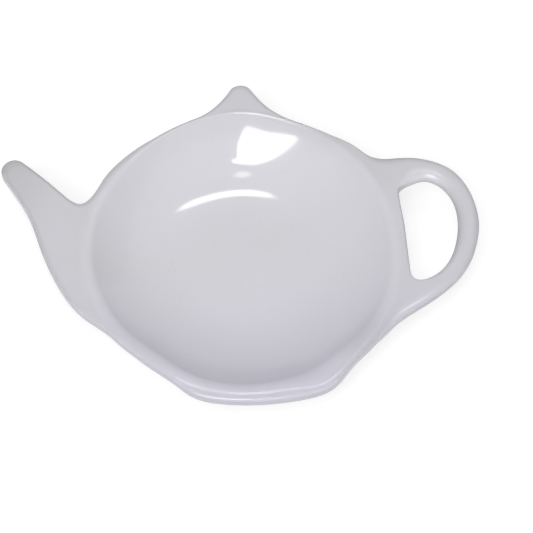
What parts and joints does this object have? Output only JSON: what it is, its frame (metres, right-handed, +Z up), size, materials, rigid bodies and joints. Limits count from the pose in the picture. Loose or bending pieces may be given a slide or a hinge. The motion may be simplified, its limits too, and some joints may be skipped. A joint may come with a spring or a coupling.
{
  "type": "tea bag rest",
  "caption": "Shallow round glazed dish in a teapot outline, with a spout, lid knob, handle loop and base lip at rim level and a foot ring, to lay a used tea bag in.",
  "frame": {"origin": "middle of the overall box, on the table", "axes": "+X from the spout towards the handle, +Y from the base lip towards the lid knob, +Z up out of the well"},
  "size_m": [0.1272, 0.0958, 0.0155],
  "materials": {
    "white_glaze": "gloss",
    "bare_clay": "matte"
  },
  "bodies": {
    "root": {"bowl": "white_glaze", "spout": "white_glaze", "lid_knob": "white_glaze", "handle_loop": "white_glaze", "base_lip": "white_glaze", "foot_ring": "bare_clay"}
  },
  "joints": []
}
